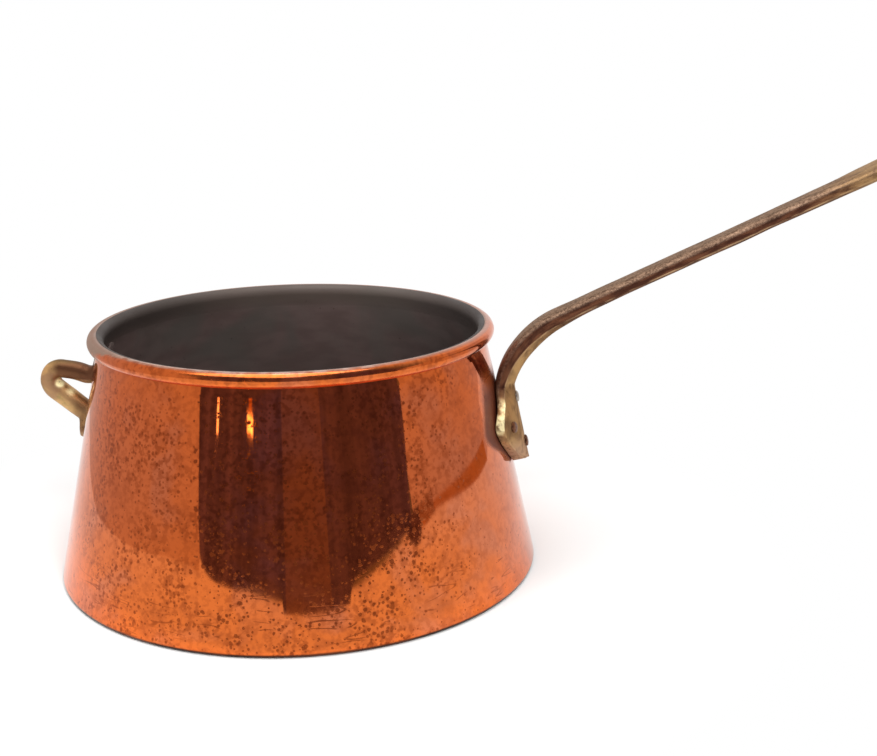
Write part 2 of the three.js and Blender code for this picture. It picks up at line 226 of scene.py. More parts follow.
def beside(line, distances):
    """The line moved to its left, by one distance for each of its points."""
    moved = []
    for i, at in enumerate(line):
        entering = at - line[i - 1] if i else line[1] - at
        leaving = line[i + 1] - at if i + 1 < len(line) else entering
        along = entering / abs(entering) + leaving / abs(leaving)
        along /= abs(along)
        stretch = abs(entering) / (along.conjugate() * entering).real
        moved.append(at + 1j * along * distances[i] * stretch)
    return moved


def track(start, heading, runs):
    """A line of straight runs and bends to the right, each (length, radius), followed by distance."""

    def follow(distance):
        at, turned, left = start, heading, distance
        for length, radius in runs:
            step = min(left, length)
            if radius:
                then = turned - step / radius
                at += (right_of(turned) - right_of(then)) * radius
                turned = then
            else:
                at += towards(turned) * step
            left -= step
        return at, turned

    return follow


# Blender's meshes and node trees


def feed(tree, socket, value):
    """Links a socket to another node's, or sets its value."""
    if isinstance(value, bpy.types.NodeSocket):
        tree.links.new(value, socket)
    else:
        socket.default_value = value


def add_node(tree, kind, inputs=(), **settings):
    """A node with its settings, and its inputs by name or number."""
    made = tree.nodes.new(kind)
    for name, value in settings.items():
        setattr(made, name, value)
    for key, value in dict(inputs).items():
        feed(tree, made.inputs[key], value)
    return made


def calc(tree, operation, *values):
    return add_node(tree, "ShaderNodeMath", enumerate(values), operation=operation).outputs[0]


def smooth_step(tree, value, start, end, low=0.0, high=1.0):
    """Goes smoothly from low to high as the value goes from start to end."""
    inputs = {0: value, 1: start, 2: end, 3: low, 4: high}
    return add_node(tree, "ShaderNodeMapRange", inputs, interpolation_type="SMOOTHSTEP").outputs[0]


def vector_calc(tree, operation, inputs):
    return add_node(tree, "ShaderNodeVectorMath", inputs, operation=operation).outputs


def nodes_of(owner):
    """The node tree of a material or a world."""
    owner.use_nodes = True
    return owner.node_tree


def new_piece(name, points, faces=()):
    mesh = bpy.data.meshes.new(name)
    mesh.from_pydata([tuple(point) for point in points], (), faces)
    piece = bpy.data.objects.new(name, mesh)
    bpy.context.scene.collection.objects.link(piece)
    return piece


def hold(piece, **columns):
    """Gives the piece's points named numbers or vectors, a column of each."""
    for name, values in columns.items():
        kind, field = ("FLOAT_VECTOR", "vector") if np.ndim(values) == 2 else ("FLOAT", "value")
        piece.data.attributes.new(name, kind, "POINT").data.foreach_set(field, np.ravel(values))


def settle(piece):
    """Turns the modifiers' result into the piece's own mesh, merged, with its faces pointing outwards."""
    made = piece.evaluated_get(bpy.context.evaluated_depsgraph_get())
    mesh = bpy.data.meshes.new_from_object(made)
    piece.modifiers.clear()
    piece.data = mesh
    body = bmesh.new()
    body.from_mesh(mesh)
    bmesh.ops.remove_doubles(body, verts=body.verts, dist=1e-6)
    bmesh.ops.dissolve_degenerate(body, edges=body.edges, dist=1e-7)
    bmesh.ops.recalc_face_normals(body, faces=body.faces)
    for face in body.faces:
        face.smooth = True
    body.to_mesh(mesh)
    body.free()
    mesh.set_sharp_from_angle(angle=sharp_angle)
    return piece


def put_in_place(piece, slot, *nodes):
    """Rides on the pot's one body and stands for its construction nodes."""
    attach(piece, "root")
    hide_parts(*nodes)


def new_tree(name, inputs):
    """A geometry tree with a geometry input, then the inputs given as {name: kind}, and a geometry output."""
    tree = bpy.data.node_groups.new(name, "GeometryNodeTree")
    for label, kind in {"Geometry": "Geometry", **inputs}.items():
        tree.interface.new_socket(label, in_out="INPUT", socket_type="NodeSocket" + kind)
    tree.interface.new_socket("Geometry", in_out="OUTPUT", socket_type="NodeSocketGeometry")
    return tree, add_node(tree, "NodeGroupInput").outputs


def end_tree(tree, geometry, material):
    whole = add_node(tree, "GeometryNodeRealizeInstances", {"Geometry": geometry}).outputs[0]
    dressed = add_node(tree, "GeometryNodeSetMaterial", {"Geometry": whole, "Material": material})
    add_node(tree, "NodeGroupOutput", {"Geometry": dressed.outputs[0]})


def grow(piece, tree, **values):
    """Runs a geometry tree on a piece, with its inputs given by name."""
    modifier = piece.modifiers.new(tree.name, "NODES")
    modifier.node_group = tree
    for item in tree.interface.items_tree:
        key = item.name.lower().replace(" ", "_")
        if item.in_out == "INPUT" and key in values:
            modifier[item.identifier] = values[key]
    return settle(piece)


def own_position(tree):
    return add_node(tree, "GeometryNodeInputPosition").outputs[0]


def sample(tree, geometry, kind, value, index):
    """A value of the geometry's point with that number."""
    inputs = {"Geometry": geometry, "Value": value, "Index": index}
    return add_node(tree, "GeometryNodeSampleIndex", inputs, data_type=kind).outputs[0]


def wrapping_grid(tree, given):
    """A grid to wrap round a line: it, the number of the line's point at each place, and the angle round."""
    columns = add_node(tree, "GeometryNodeAttributeDomainSize", {0: given["Geometry"]}).outputs["Point Count"]
    rows = calc(tree, "ADD", given["Steps round"], 1)
    size = [calc(tree, "SUBTRACT", count, 1) for count in (columns, rows)]
    counts = {"Vertices X": columns, "Vertices Y": rows}
    grid = add_node(tree, "GeometryNodeMeshGrid", {"Size X": size[0], "Size Y": size[1], **counts})
    at = add_node(tree, "ShaderNodeSeparateXYZ", {0: own_position(tree)}).outputs
    column, row = [
        calc(tree, "ROUND", calc(tree, "MULTIPLY_ADD", length, 0.5, at[axis]))
        for axis, length in enumerate(size)
    ]
    angle = calc(tree, "MULTIPLY", calc(tree, "DIVIDE", row, given["Steps round"]), 2 * math.pi)
    return grid.outputs["Mesh"], column, angle


def end_wrapping(tree, given, grid, target):
    """Moves the grid's points to their places and closes its seam."""
    shape = add_node(tree, "GeometryNodeSetPosition", {"Geometry": grid, "Position": target}).outputs[0]
    welded = add_node(tree, "GeometryNodeMergeByDistance", {"Geometry": shape, "Distance": 1e-6}).outputs[0]
    end_tree(tree, welded, given["Finish"])
    return tree


wrapping_inputs = {"Steps round": "Int", "Finish": "Material"}


def turned_tree():
    """Turns an outline about the upright axis: x is the radius and z the height of its points."""
    tree, given = new_tree("turned on a lathe", wrapping_inputs)
    grid, column, angle = wrapping_grid(tree, given)
    profile = sample(tree, given["Geometry"], "FLOAT_VECTOR", own_position(tree), column)
    place = add_node(tree, "ShaderNodeSeparateXYZ", {0: profile}).outputs
    round_pot = [calc(tree, "MULTIPLY", place[0], calc(tree, turn, angle)) for turn in ("COSINE", "SINE")]
    target = add_node(tree, "ShaderNodeCombineXYZ", enumerate([*round_pot, place[2]])).outputs[0]
    return end_wrapping(tree, given, grid, target)


def bar_tree():
    """Draws a bar along a row of points that hold its half width, half depth, squareness and outward side."""
    tree, given = new_tree("bar along a path", wrapping_inputs)
    grid, column, angle = wrapping_grid(tree, given)

    def held(name, kind="FLOAT"):
        value = add_node(tree, "GeometryNodeInputNamedAttribute", {"Name": name}, data_type=kind)
        return sample(tree, given["Geometry"], kind, value.outputs[0], column)

    middle = sample(tree, given["Geometry"], "FLOAT_VECTOR", own_position(tree), column)
    power = calc(tree, "DIVIDE", 2, held("squareness"))

    def bulge(turn, size):
        value = calc(tree, turn, angle)
        grown = calc(tree, "POWER", calc(tree, "ABSOLUTE", value), power)
        signed = calc(tree, "MULTIPLY", calc(tree, "SIGN", value), grown)
        return calc(tree, "MULTIPLY", signed, held(size))

    across = add_node(tree, "ShaderNodeCombineXYZ", {1: bulge("COSINE", "half_width")}).outputs[0]
    out = {0: held("outward", "FLOAT_VECTOR"), "Scale": bulge("SINE", "half_depth")}
    aside = vector_calc(tree, "ADD", {0: across, 1: vector_calc(tree, "SCALE", out)[0]})[0]
    return end_wrapping(tree, given, grid, vector_calc(tree, "ADD", {0: middle, 1: aside})[0])


def rivet_tree(lathe):
    """Sets a turned head on every seat, along the seat's axis, a little dented as a hammer leaves it."""
    inputs = {"Outline": "Object", "Steps round": "Int", "Dent depth": "Float", "Dent size": "Float"}
    tree, given = new_tree("rivet heads on their seats", {**inputs, "Seed": "Int", "Finish": "Material"})
    outline = add_node(tree, "GeometryNodeObjectInfo", {"Object": given["Outline"]}).outputs["Geometry"]
    parts = {"Geometry": outline, "Steps round": given["Steps round"], "Finish": given["Finish"]}
    head = add_node(tree, "GeometryNodeGroup", parts, node_tree=lathe)
    axis = add_node(tree, "GeometryNodeInputNamedAttribute", {"Name": "axis"}, data_type="FLOAT_VECTOR")
    turn = add_node(tree, "FunctionNodeAlignRotationToVector", {"Vector": axis.outputs[0]}, axis="Z")
    size = add_node(tree, "FunctionNodeRandomValue", data_type="FLOAT")
    for name, value in {"Min": 0.96, "Max": 1.03, "Seed": given["Seed"]}.items():
        feed(tree, next(s for s in size.inputs if s.name == name and s.enabled), value)
    scale = next(s for s in size.outputs if s.enabled)
    seats = {"Points": given["Geometry"], "Instance": head.outputs[0], "Rotation": turn.outputs[0]}
    heads = add_node(tree, "GeometryNodeInstanceOnPoints", {**seats, "Scale": scale}).outputs[0]
    whole = add_node(tree, "GeometryNodeRealizeInstances", {"Geometry": heads}).outputs[0]
    grain = {"Scale": calc(tree, "DIVIDE", 1, given["Dent size"]), "Detail": 1.0}
    dents = add_node(tree, "ShaderNodeTexNoise", grain).outputs[0]
    depth = calc(tree, "MULTIPLY", calc(tree, "SUBTRACT", dents, 0.5), given["Dent depth"])
    normal = add_node(tree, "GeometryNodeInputNormal").outputs[0]
    push = vector_calc(tree, "SCALE", {0: normal, "Scale": depth})[0]
    dented = add_node(tree, "GeometryNodeSetPosition", {"Geometry": whole, "Offset": push}).outputs[0]
    end_tree(tree, dented, given["Finish"])
    return tree


def outline_piece(name, outline):
    """The points of an outline as an object, for a tree to turn."""
    return new_piece(name, [(at.real, 0, at.imag) for at in outline])


# Finishes


def tone(colour):
    """A colour that is written as it looks on a screen, as light. Any other comes back as it is."""
    if not isinstance(colour, str):
        return colour
    parts = [int(colour[i : i + 2], 16) / 255 for i in (0, 2, 4)]
    return (*[p / 12.92 if p <= 0.04045 else ((p + 0.055) / 1.055) ** 2.4 for p in parts], 1)


class Finish:
    """A surface finish, with a call for each kind of step in its node tree, and a colour laid on in coats."""

    def __init__(self, name):
        self.material = bpy.data.materials.new(name)
        self.tree = nodes_of(self.material)
        self.shader = self.tree.nodes["Principled BSDF"]
        self.place = add_node(self.tree, "ShaderNodeTexCoord").outputs["Object"]
        self.colour = None
        self.bumps = None

    def calc(self, operation, *values):
        return calc(self.tree, operation, *values)

    def product(self, first, *others):
        for value in others:
            first = self.calc("MULTIPLY", first, value)
        return first

    def plus(self, base, *terms):
        """The base with each (share, strength) multiplied and added to it."""
        for share, strength in terms:
            base = self.calc("MULTIPLY_ADD", share, strength, base)
        return base

    def axes(self):
        return add_node(self.tree, "ShaderNodeSeparateXYZ", {0: self.place}).outputs

    def held(self, name, output="Fac"):
        """A number, or with "Vector" a place, that the piece holds at each of its points."""
        return add_node(self.tree, "ShaderNodeAttribute", attribute_name=name).outputs[output]

    def within(self, *values):
        return smooth_step(self.tree, *values)

    def zone(self, place, start, end, *levels):
        """The same for a length, with its start and end in millimetres."""
        return self.within(place, start * MM, end * MM, *levels)

    def near(self, at, reach):
        """1 at a place and 0 from that far away."""
        return self.within(vector_calc(self.tree, "DISTANCE", {0: self.place, 1: at})["Value"], reach, 0)

    def stretched(self, factors, place=None):
        """The place on the piece, drawn out along its axes."""
        inputs = {"Vector": place or self.place, "Scale": [1 / factor for factor in factors]}
        return add_node(self.tree, "ShaderNodeMapping", inputs).outputs[0]

    def cloud(self, size, detail=3.0, place=None, distortion=0.0):
        """Noise from 0 to 1 whose lumps are about that size."""
        look = {"Scale": 1 / size, "Detail": detail, "Distortion": distortion}
        return add_node(self.tree, "ShaderNodeTexNoise", {"Vector": place or self.place, **look}).outputs[0]

    def spots(self, spacing, largest, amount, ragged=0.3):
        """Spots of mixed sizes, at most one to a cell; amount from 0 to 1 says how many cells have one."""
        cells = add_node(self.tree, "ShaderNodeTexVoronoi", {"Vector": self.place, "Scale": 1 / spacing})
        chance = add_node(self.tree, "ShaderNodeSeparateColor", {0: cells.outputs["Color"]}).outputs[0]
        rag = self.product(self.calc("SUBTRACT", self.cloud(spacing / 3, 2.0), 0.5), ragged)
        distance = self.calc("ADD", cells.outputs["Distance"], rag)
        over = self.calc("SUBTRACT", self.calc("ADD", chance, amount), 1)
        radius = self.product(self.calc("MAXIMUM", over, 0), largest / spacing)
        return self.within(self.calc("SUBTRACT", radius, distance), 0, self.plus(0.01, (radius, 0.35)))

    def mixed(self, share, first, second):
        inputs = {0: share, 6: tone(first), 7: tone(second)}
        return add_node(self.tree, "ShaderNodeMix", inputs, data_type="RGBA").outputs[2]

    def coat(self, colour, *shares):
        """Lays a colour over the others, by the product of the shares. The first coat has no share."""
        self.colour = self.mixed(self.product(*shares), self.colour, colour) if shares else tone(colour)

    def bump(self, height, depth):
        """Raises the surface by the height, which goes from 0 to 1, times the depth in metres."""
        inputs = {"Strength": 1.0, "Distance": depth, "Height": height}
        if self.bumps:
            inputs["Normal"] = self.bumps
        self.bumps = add_node(self.tree, "ShaderNodeBump", inputs).outputs[0]

    def done(self, **inputs):
        """Sets the shader's sockets and gives the material."""
        for name, value in {"base_color": self.colour, "normal": self.bumps, **inputs}.items():
            feed(self.tree, self.shader.inputs[name.replace("_", " ").title()], value)
        return self.material


def on_the_wall(angle, height):
    """A place on the outside of the wall, by degrees round the pot from the long handle."""
    at = wall_at(height).real * towards(math.radians(angle))
    return Vector((at.real, at.imag, height))


# The outside of the wall, which everything riveted to it follows

wall_top = complex(wall_top_radius, body_height - 2 * bead_radius)
rim_centre = complex(wall_top_radius + bead_overhang, body_height - bead_radius)
corner_centre = complex(base_radius - base_corner_radius, base_corner_radius)
wall_heading = heading_to_touch(wall_top, corner_centre, base_corner_radius) - math.pi
wall_lean = wall_heading - math.pi / 2
wall_outward = right_of(wall_heading)
plate_tip_height = body_height - plate_tip_drop


def wall_at(height):
    return complex(wall_top.real + (height - wall_top.imag) / math.tan(wall_heading), height)


def off_wall(height, distance):
    return wall_at(height) + wall_outward * distance


def wall_fall(height, sideways):
    """How far the round wall falls away sideways from its middle line."""
    radius = wall_at(height).real / math.cos(wall_lean)
    return radius - math.sqrt(radius**2 - sideways**2)


def seat_on_wall(piece, gap):
    """Moves what lies inside the wall straight out to it, so that a back fits the wall."""
    for vertex in piece.data.vertices:
        radius = math.hypot(vertex.co.x, vertex.co.y)
        least = off_wall(vertex.co.z, gap).real
        if radius < least:
            vertex.co.x *= least / radius
            vertex.co.y *= least / radius


def freckles(finish, dense):
    """Crisp dots of tarnish in three sizes; dense from 0 to 1 says how many there are."""
    dots = 0
    for spacing, largest, share in ((1.5, 0.95, 1), (3.2, 1.7, 0.78), (8, 2.8, 0.5)):
        more = finish.spots(spacing * MM, largest * MM, finish.product(dense, share), ragged=0.5)
        dots = finish.calc("MAXIMUM", dots, more)
    return dots


def scratches(finish, z):
    """Thin dark lines that wander round the pot near its base."""
    wander = finish.cloud(24 * MM, 1.0, finish.stretched((1, 1, 0.14)))
    line = finish.within(finish.calc("ABSOLUTE", finish.calc("SUBTRACT", wander, 0.5)), 0.026, 0.008)
    here = finish.within(finish.cloud(15 * MM, 1.0), 0.54, 0.6)
    return finish.product(line, here, finish.zone(z, 27, 15))


def painted_reflection_beside_fittings(finish, x, y, z):
    """1 on the wall beside the long handle's plate and the loop's foot, where a dark, dull patch is painted
    as their mirror image and shade.
    """
    widest = plate_tip_height + plate_widest_rise
    top = plate_tip_height + plate_length
    past_plate, past_neck, past_tip = [width + margin for width, margin in painted_reflection_widths]
    to_neck = finish.within(z, widest, top, past_plate, past_neck)
    to_tip = finish.within(z, plate_tip_height, widest, past_tip, past_plate)
    away = finish.calc("SUBTRACT", finish.calc("ABSOLUTE", y), finish.calc("MINIMUM", to_neck, to_tip))
    low_end = finish.within(z, plate_tip_height, plate_tip_height + 2 * MM)
    ends = finish.product(low_end, finish.zone(z, 85, 72))
    plate = finish.product(finish.zone(away, 2, -3), finish.zone(x, 0, 20), ends)
    return finish.calc("MAXIMUM", plate, finish.near(on_the_wall(180, painted_reflection_foot_height), painted_reflection_foot_reach))


def polished_copper():
    finish = Finish("polished copper")
    x, y, z = finish.axes()
    flat = add_node(finish.tree, "ShaderNodeCombineXYZ", {0: x, 1: y}).outputs[0]
    radius = vector_calc(finish.tree, "LENGTH", {0: flat})["Value"]
    cloud = finish.cloud(26 * MM, 4.0, distortion=0.4)
    film = finish.within(cloud, 0.46, 0.7)
    for angle, height, reach, strength in film_patches:
        film = finish.plus(film, (finish.near(on_the_wall(angle, height), reach), strength))
    film = finish.calc("MINIMUM", finish.product(film, 0.85), 1)
    haze = finish.within(finish.cloud(7 * MM, 5.0, distortion=0.5), 0.46, 0.7)
    flecks = finish.within(finish.cloud(2 * MM, 4.0), 0.44, 0.62)
    patchy = finish.within(finish.cloud(13 * MM, 3.0), 0.35, 0.62)
    at_side = finish.zone(finish.calc("ABSOLUTE", x), 55, 82)
    low = finish.zone(z, 60, 8)
    dense = finish.plus(0.56, (patchy, 0.38), (low, 0.12), (at_side, -0.5))
    marks = finish.calc("MAXIMUM", freckles(finish, dense), finish.product(scratches(finish, z), 0.9))
    marks = finish.product(marks, finish.zone(z, 90, 87))
    beside = painted_reflection_beside_fittings(finish, x, y, z)
    finish.coat("e27234")
    finish.coat("d07650", film)
    finish.coat("a5502c", haze, 0.36)
    finish.coat("98441f", flecks, finish.plus(0.25, (patchy, 0.35)), finish.plus(1, (at_side, -0.6)))
    finish.coat("863a1a", marks, 0.66)
    # Painted reflection and shade of the plate and the loop's foot, on the wall beside them
    finish.coat("50261b", beside, 0.9)
    # The bead: tin was wiped over its inner side, and over all of it beside the loop
    outwards = finish.calc("DIVIDE", finish.calc("SUBTRACT", radius, rim_centre.real), bead_radius)
    fine = finish.cloud(5 * MM, 4.0)
    reach = finish.zone(x, -36, -83, 0.0, 1.7)
    ragged = finish.calc("ADD", reach, finish.product(finish.calc("SUBTRACT", fine, 0.5), 0.9))
    on_bead = finish.within(z, wall_top.imag, wall_top.imag + 1.4 * MM)
    lip = finish.product(finish.within(finish.calc("SUBTRACT", ragged, outwards), -0.1, 0.25), on_bead)
    finish.coat("ab9385", lip)
    # Its top is duller than its side, with a painted highlight in front, broken into small glints
    on_top = finish.product(finish.zone(z, 95.2, 96.4), finish.within(outwards, 0.6, 0.3))
    highlight_in_front = finish.zone(y, -46, -68)
    finish.coat("a07c6c", on_top, 0.5)
    finish.coat("e6c8b8", on_top, highlight_in_front, finish.within(fine, 0.36, 0.6), 0.55)
    worn = finish.product(on_bead, finish.within(finish.cloud(9 * MM, 4.0), 0.35, 0.65, 0.05, 0.18))
    # The underside, dulled by the hob, and the dark line where the base turns up, which is painted shade
    # mirrored from the table
    under = finish.zone(z, 1.9, 1.1)
    finish.coat(finish.mixed(finish.within(cloud, 0.4, 0.6), "5d3322", "35201a"), under)
    finish.bump(finish.cloud(9 * MM, 1.0, finish.stretched((3, 3, 1))), 0.008 * MM)
    finish.bump(marks, 0.002 * MM)
    polish = finish.plus(0.035, (marks, 0.16), (film, 0.012))
    roughness = finish.plus(polish, (beside, 0.5), (lip, 0.3), (worn, 1), (under, 0.3))
    return finish.done(metallic=finish.plus(1, (beside, -0.7)), roughness=roughness)


def wiped_tin():
    finish = Finish("wiped tin")
    x, _, z = finish.axes()
    wipes = finish.cloud(14 * MM, 4.0, finish.stretched((1, 1, 0.35)))
    finish.coat("6b5a56")
    finish.coat("766460", finish.within(wipes, 0.35, 0.65))
    finish.coat("61605a", finish.within(finish.cloud(30 * MM, 3.0, distortion=0.5), 0.4, 0.68), 0.6)
    finish.coat("40332f", finish.spots(3 * MM, 1.6 * MM, 0.3), 0.6)
    # The lip is duller than the rest and the long handle's side is darker; painted shade darkens the lip most
    # at its two ends
    lip = finish.zone(z, 84, 92)
    finish.coat("50463f", lip, 0.85)
    finish.coat("3e3a3c", finish.zone(x, 0, 80, 0.0, 0.45))
    # Painted shade at the two ends of the lip
    finish.coat("2a2422", finish.zone(finish.calc("ABSOLUTE", x), 35, 72, 0.0, 0.6), lip)
    finish.bump(wipes, 0.05 * MM)
    finish.bump(finish.cloud(2.2 * MM, 2.0), 0.02 * MM)
    roughness = finish.plus(finish.within(wipes, 0.3, 0.7, 0.38, 0.55), (lip, 0.15))
    return finish.done(metallic=finish.plus(0.45, (lip, -0.3)), roughness=roughness)


def iron_wire():
    finish = Finish("iron wire")
    rust = finish.within(finish.cloud(4 * MM, 4.0), 0.45, 0.65)
    finish.coat("6a6460")
    finish.coat("6b4630", rust)
    finish.bump(finish.cloud(0.5 * MM, 2.0), 0.03 * MM)
    return finish.done(metallic=0.8, roughness=finish.within(rust, 0, 1, 0.4, 0.75))


def handle_brass():
    finish = Finish("cast brass browned by the hand")
    x, _, z = finish.axes()
    flank, face = finish.held("flank"), finish.held("face_side")
    lengthwise = finish.held("lengthwise", "Vector")
    depth = add_node(finish.tree, "ShaderNodeSeparateXYZ", {0: lengthwise}).outputs[2]
    drawn = finish.stretched((5, 1, 1), lengthwise)
    streaks = finish.cloud(1.7 * MM, 4.0, drawn)
    grain = finish.within(streaks, 0.36, 0.64)
    fine = finish.cloud(0.9 * MM, 3.0)
    patches = finish.within(finish.cloud(7 * MM, 4.0, distortion=0.6), 0.36, 0.66)
    # The bar is grey-brown on top and dark along its flank, painted light and shade, lighter along its lower
    # edge, a painted reflection, and lighter towards its end
    speckled = finish.plus(finish.product(grain, 0.35), (finish.within(fine, 0.35, 0.65), 0.65))
    upper = finish.mixed(speckled, "5c4638", "9c7e68")
    painted_shade_flank = finish.mixed(grain, "4b2c20", "744a34")
    finish.coat(finish.mixed(finish.zone(depth, 0.9, 1.9), upper, painted_shade_flank))
    finish.coat("c0a27c", finish.within(face, 0.05, 0.35), finish.within(face, 1.0, 0.8), grain, 0.8)
    finish.coat("b48e5e", finish.zone(x, 190, 215), grain, 0.6)
    # The outer face is golden from the plate to the shoulder: the plate's own tone, and on the neck a painted
    # reflection of the lit table
    neck_face_reflection = finish.product(face, finish.zone(x, 112, 92))
    golden_and_reflection = finish.calc("MAXIMUM", neck_face_reflection, finish.zone(z, 74, 66))
    finish.coat(finish.mixed(patches, "b48e60", "866748"), golden_and_reflection)
    # The paddle is worn smooth by the hook that it hangs on
    paddle = finish.zone(x, 203, 222)
    finish.coat(finish.mixed(patches, "b08e62", "7e6046"), paddle, 0.75)
    # The plate's tip is paler, and a painted highlight lies on its flank where it sweeps up to the neck
    finish.coat("c8a48c", finish.zone(z, 57, 47), 0.6)
    highlight_band = finish.product(finish.zone(z, 57, 60), finish.zone(z, 70.8, 67.5))
    hammered = finish.within(finish.cloud(2.6 * MM, 2.0), 0.34, 0.6)
    bright = finish.product(highlight_band, flank, finish.within(face, 0.9, 0.5), hammered)
    finish.coat("fff0b8", bright)
    grime = finish.within(finish.cloud(1.8 * MM, 3.0, drawn), 0.56, 0.7)
    finish.coat("452c20", grime, finish.plus(0.5, (paddle, -0.42)))
    for height, deep in ((finish.cloud(4 * MM, 2.0), 0.16), (fine, 0.06), (streaks, 0.06)):
        finish.bump(height, deep * MM)
    roughness = finish.plus(0.42, (patches, 0.1), (bright, -0.1))
    metallic = finish.plus(0.76, (golden_and_reflection, 0.12), (bright, -0.45))
    return finish.done(metallic=metallic, roughness=roughness, specular_tint=(0.7, 0.58, 0.48, 1))


def loop_brass():
    finish = Finish("bar brass with an olive tarnish")
    x, _, z = finish.axes()
    tarnish = finish.within(finish.cloud(7 * MM, 3.0, distortion=0.5), 0.35, 0.65)
    finish.coat("d2aa72")
    finish.coat("b28c66", tarnish)
    finish.coat("8f8350", finish.within(finish.cloud(4 * MM, 3.0), 0.52, 0.68), 0.55)
    # A painted dark reflection along the upper arm's middle, darker brown where the arms come down to their
    # feet, and olive over the top
    band = finish.product(finish.zone(z, 72, 73.6), finish.zone(x, -101, -95), 0.92)
    at_foot = finish.product(finish.zone(x, -93, -88), finish.zone(z, 70, 62), 0.6)
    finish.coat("5e3622", finish.calc("MAXIMUM", band, at_foot))
    finish.coat("7c683e", finish.zone(z, 78.5, 80.5), finish.zone(x, -84, -90), 0.5)
    # A painted highlight in two places on the lower arm, near the bend
    painted_highlight = 0
    for place, strength in (((-96, -2, 71.2), 2), ((-91.8, -2, 67.8), 0.9)):
        spot = finish.near(Vector(place) * MM, 2.8 * MM)
        painted_highlight = finish.calc("MAXIMUM", painted_highlight, finish.product(spot, strength))
    painted_highlight = finish.calc("MINIMUM", painted_highlight, 1)
    finish.coat("fff4bc", painted_highlight)
    finish.coat("5b4630", finish.spots(2 * MM, 1 * MM, 0.6), 0.6)
    finish.bump(finish.cloud(3.5 * MM, 2.0), 0.09 * MM)
    finish.bump(finish.cloud(0.7 * MM, 2.0), 0.02 * MM)
    metallic = finish.plus(0.82, (painted_highlight, -0.5))
    return finish.done(metallic=metallic, roughness=finish.plus(0.44, (tarnish, 0.1)))


def rivet_copper():
    finish = Finish("hammered rivet copper")
    finish.coat("5a3a2a")
    finish.coat("7c5138", finish.within(finish.cloud(2.4 * MM, 3.0), 0.35, 0.65))
    finish.coat("a79c90", finish.held("pale"))
    finish.bump(finish.cloud(0.8 * MM, 2.0), 0.04 * MM)
    return finish.done(metallic=0.85, roughness=0.36)


# The turned pieces

half_sheet = sheet / 2
sheet_line = off_wall(0, -half_sheet)
neck = crossing(sheet_line, wall_heading, complex(0, rim_centre.imag - neck_drop), 0)
curl_radius = bead_radius - half_sheet
curl_heading = heading_to_touch(neck, rim_centre, curl_radius)
curl_start = curl_heading + math.pi / 2
neck_bend = hollow_bend(neck, wall_heading, curl_heading, neck_hollow_radius, hollow_steps)


def from_axis(corner, curl):
    """The sheet's middle line from the pot's axis to the end of its curl."""
    axis = complex(0, half_sheet)
    return [axis, *run(axis, corner[0]), *corner, *run(corner[-1], neck_bend[0]), *neck_bend, *curl]


def body_outline():
    corner = arc(corner_centre, base_corner_radius - half_sheet, -math.pi / 2, wall_lean, corner_steps)
    clear_of_wall = (curl_radius - half_sheet - curl_gap) / bead_radius
    curl_end = curl_start + math.acos(clear_of_wall) - 2 * math.pi
    middle = from_axis(corner, arc(rim_centre, curl_radius, curl_start, curl_end, curl_steps))
    outside, inside = [beside(middle, [distance] * len(middle)) for distance in (-half_sheet, half_sheet)]
    return [*outside, *reversed(inside)]


def lining_outline():
    """The tin as an outline that thins out to nearly nothing where it laps over the bead."""
    foot = crossing(sheet_line, wall_heading, complex(0, half_sheet), 0)
    corner = hollow_bend(foot, 0, wall_heading, tin_corner_radius, tin_corner_steps)
    lip = arc(rim_centre, curl_radius, curl_start, math.radians(tin_lap_angle), tin_lap_steps)
    middle = from_axis(corner, lip)
    back = [half_sheet + tin_back] * len(middle)
    face = [half_sheet + tin_face] * len(middle)
    for step in range(len(lip)):
        face[len(middle) - len(lip) + step] -= (tin_face - 2 * tin_back) * step / (len(lip) - 1)
    return [*beside(middle, back), *reversed(beside(middle, face))]


def turned_piece(name, outline, lathe, finish):
    return grow(outline_piece(name, outline), lathe, steps_round=256, finish=finish)


# The long handle

neck_bend_length = neck_bend_radius * (wall_heading - shoulder_slope)
shoulder_bend_length = shoulder_bend_radius * (shoulder_slope - bar_slope)
stoutest_rise = neck_leave_rise + stoutest_share * (neck_bend_length + shoulder_bend_length)
bar_start_rise = neck_leave_rise + neck_bend_length + shoulder_bend_length
handle_start = off_wall(plate_tip_height, seat_gap)
bends = [
    (neck_leave_rise, 0),
    (neck_bend_length, neck_bend_radius),
    (shoulder_bend_length, shoulder_bend_radius),
]
bar_start, _ = track(handle_start, wall_heading, bends)(bar_start_rise)
bar_length = (handle_reach - bar_start.real) / math.cos(bar_slope)
handle_length = bar_start_rise + bar_length
handle_back = track(handle_start, wall_heading, [*bends, (bar_length, 0)])
flare_start = handle_length - flare_length
paddle_round = handle_length - paddle_half_width


def handle_half_width(rise):
    if rise < plate_widest_rise:
        to_tip = (1 - rise / plate_widest_rise) ** leaf_roundness
        return plate_half_width + (tip_half_width - plate_half_width) * to_tip
    if rise < plate_length:
        return eased(rise, plate_widest_rise, plate_length, plate_half_width, neck_half_width)
    if rise < flare_start:
        return eased(rise, plate_length, bar_start_rise, neck_half_width, bar_half_width)
    flared = eased(rise, flare_start, paddle_round, bar_half_width, paddle_half_width)
    past_round = max(rise - paddle_round, 0) / paddle_half_width
    return flared * math.sqrt(1 - past_round**2)


def from_plate_to_paddle(rise, plate, bar, paddle):
    beyond = eased(rise, flare_start, paddle_round, bar, paddle)
    return eased(rise, neck_leave_rise, bar_start_rise, plate, beyond)


def handle_crown(rise):
    if rise < stoutest_rise:
        return eased(rise, plate_widest_rise, stoutest_rise, plate_crown, neck_crown)
    beyond = eased(rise, flare_start, paddle_round, bar_crown, paddle_crown)
    return eased(rise, stoutest_rise, stoutest_rise + bar_ease_length, neck_crown, beyond)


